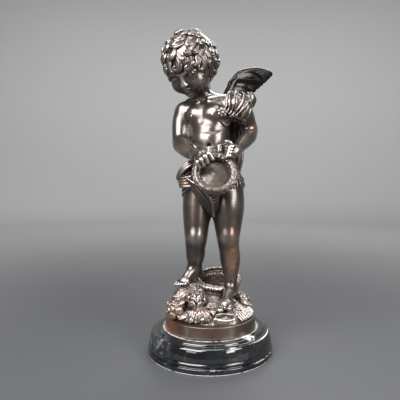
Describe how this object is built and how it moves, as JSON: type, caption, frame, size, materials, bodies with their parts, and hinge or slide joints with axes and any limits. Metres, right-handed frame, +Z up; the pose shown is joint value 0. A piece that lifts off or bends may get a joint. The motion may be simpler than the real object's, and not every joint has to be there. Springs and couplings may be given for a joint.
{
  "type": "winged boy with wreath statue",
  "caption": "Standing bronze winged boy in loose drapery holding a round wreath, on a flowery round ground with a basket, on a turned black marble socle.",
  "frame": {"origin": "middle of the socle's flat underside", "axes": "+Z up, the boy's front towards -Y, his left side towards +X"},
  "size_m": [0.1377, 0.1498, 0.3317],
  "materials": {
    "bronze": "dark brown patina, rubbed to reddish gold, glossy",
    "black_marble": "polished, with white chips on the edges"
  },
  "bodies": {
    "root": {"winged_boy": "bronze", "marble_socle": "black_marble"}
  },
  "joints": []
}
